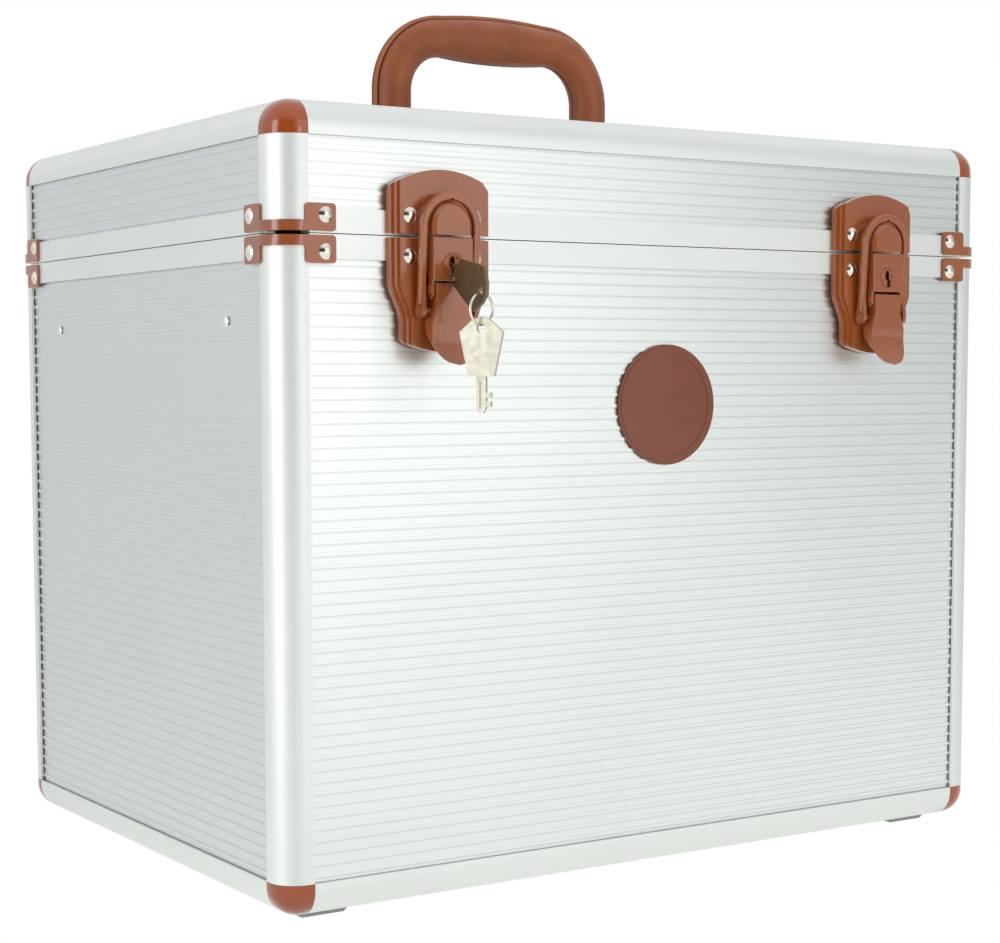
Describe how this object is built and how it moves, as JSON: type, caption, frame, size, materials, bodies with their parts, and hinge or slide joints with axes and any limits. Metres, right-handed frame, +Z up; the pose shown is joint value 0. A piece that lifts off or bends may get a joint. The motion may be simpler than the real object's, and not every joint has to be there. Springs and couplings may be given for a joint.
{
  "type": "horse grooming box",
  "caption": "Ribbed aluminium carrying case with hinged lid, brown corner hardware, lockable draw latches, leather-covered handle, keys and a lift-out tray.",
  "frame": {"origin": "on the floor under the middle of the whole object, keys and hinges included", "axes": "+X right seen from the front, -Y front (latches), +Z up"},
  "size_m": [0.4048, 0.3406, 0.4121],
  "materials": {
    "ribbed_sheet": "satin ribbed sheet",
    "edge_aluminium": "satin anodised",
    "gloss_brown": "glossy",
    "brown_metal": "semi-gloss",
    "badge_brown": "satin",
    "nickel": "bright nickel",
    "key_steel": "brushed",
    "leather": "waxed",
    "leather_plate": "satin",
    "lining": "matt felt",
    "foot_rubber": "matt",
    "tray_plastic": "matt"
  },
  "bodies": {
    "base": {"base_front_panel": "ribbed_sheet", "base_back_panel": "ribbed_sheet", "base_left_panel": "ribbed_sheet", "base_right_panel": "ribbed_sheet", "base_bottom_panel": "ribbed_sheet", "base_posts": "edge_aluminium", "base_edges": "edge_aluminium", "base_rim": "edge_aluminium", "base_corner_caps": "gloss_brown", "base_corner_braces": "brown_metal", "base_rivets": "nickel", "base_lining": "lining", "feet": "foot_rubber", "foot_screws": "nickel", "badge_plate": "badge_brown", "tray_rail_left": "edge_aluminium", "tray_rail_right": "edge_aluminium", "tray_rail_rivets": "nickel", "latch_plate_left": "brown_metal", "latch_plate_right": "brown_metal", "lock_housing_left": "brown_metal", "lock_housing_right": "brown_metal", "lever_pin_left": "brown_metal", "lever_pin_right": "brown_metal", "hinge_lower_leaf_left": "brown_metal", "hinge_lower_leaf_right": "brown_metal", "hinge_pins": "nickel"},
    "lid": {"lid_top_panel": "ribbed_sheet", "lid_front_panel": "ribbed_sheet", "lid_back_panel": "ribbed_sheet", "lid_left_panel": "ribbed_sheet", "lid_right_panel": "ribbed_sheet", "lid_posts": "edge_aluminium", "lid_edges": "edge_aluminium", "lid_rim": "edge_aluminium", "lid_corner_caps": "gloss_brown", "lid_corner_braces": "brown_metal", "lid_rivets": "nickel", "lid_lining": "lining", "keeper_left": "brown_metal", "keeper_right": "brown_metal", "hinge_upper_leaf_left": "brown_metal", "hinge_upper_leaf_right": "brown_metal", "handle_grip": "leather", "handle_welt": "leather", "handle_end_plates": "leather_plate", "handle_screws": "nickel"},
    "lever_left": {"latch_lever_left": "brown_metal", "bail_pins_left": "brown_metal"},
    "lever_right": {"latch_lever_right": "brown_metal", "bail_pins_right": "brown_metal"},
    "bail_left": {"latch_bail_left": "brown_metal"},
    "bail_right": {"latch_bail_right": "brown_metal"},
    "lock_left": {"lock_plug_left": "brown_metal", "key": "key_steel"},
    "lock_right": {"lock_plug_right": "brown_metal"},
    "ring": {"key_ring": "nickel"},
    "spare": {"spare_key": "nickel"},
    "tray": {"tray": "tray_plastic", "tray_dividers": "tray_plastic"}
  },
  "joints": [
    {"name": "lid_open", "type": "hinge", "parent": "base", "child": "lid", "pos_m": [0, 0.16728, 0.2888], "axis": [-1, 0, 0], "range_deg": [0, 100]},
    {"name": "latch_lever_left_open", "type": "hinge", "parent": "base", "child": "lever_left", "pos_m": [-0.124, -0.13652, 0.2664], "axis": [-1, 0, 0], "range_deg": [0, 40]},
    {"name": "latch_lever_right_open", "type": "hinge", "parent": "base", "child": "lever_right", "pos_m": [0.124, -0.13652, 0.2664], "axis": [-1, 0, 0], "range_deg": [0, 90]},
    {"name": "bail_left_tip", "type": "hinge", "parent": "lever_left", "child": "bail_left", "pos_m": [-0.124, -0.13462, 0.2576], "axis": [-1, 0, 0], "range_deg": [-80.5, 0]},
    {"name": "bail_right_tip", "type": "hinge", "parent": "lever_right", "child": "bail_right", "pos_m": [0.124, -0.13462, 0.2576], "axis": [-1, 0, 0], "range_deg": [-135.5, 0]},
    {"name": "lock_turn_left", "type": "hinge", "parent": "base", "child": "lock_left", "pos_m": [-0.124, -0.13982, 0.2766], "axis": [0, -1, 0], "range_deg": [-90, 0]},
    {"name": "lock_turn_right", "type": "hinge", "parent": "base", "child": "lock_right", "pos_m": [0.124, -0.13982, 0.2766], "axis": [0, -1, 0], "range_deg": [-90, 0]},
    {"name": "ring_sway", "type": "hinge", "parent": "lock_left", "child": "ring", "pos_m": [-0.124, -0.16102, 0.26526], "axis": [-1, 0, 0], "range_deg": [0, 40.5]},
    {"name": "spare_key_swing", "type": "hinge", "parent": "ring", "child": "spare", "pos_m": [-0.124, -0.16102, 0.24996], "axis": [-0.866, -0.5, 0], "range_deg": [0, 40.5]},
    {"name": "tray_lift", "type": "slide", "parent": "base", "child": "tray", "axis": [0, 0, 1], "range_m": [0, 0.045]}
  ],
  "couplings": [
    {"joint": "bail_left_tip", "follows": "latch_lever_left_open", "ratio": -2},
    {"joint": "bail_right_tip", "follows": "latch_lever_right_open", "ratio": -1.5},
    {"joint": "ring_sway", "follows": "latch_lever_left_open", "ratio": 1},
    {"joint": "spare_key_swing", "follows": "latch_lever_left_open", "ratio": 1}
  ]
}
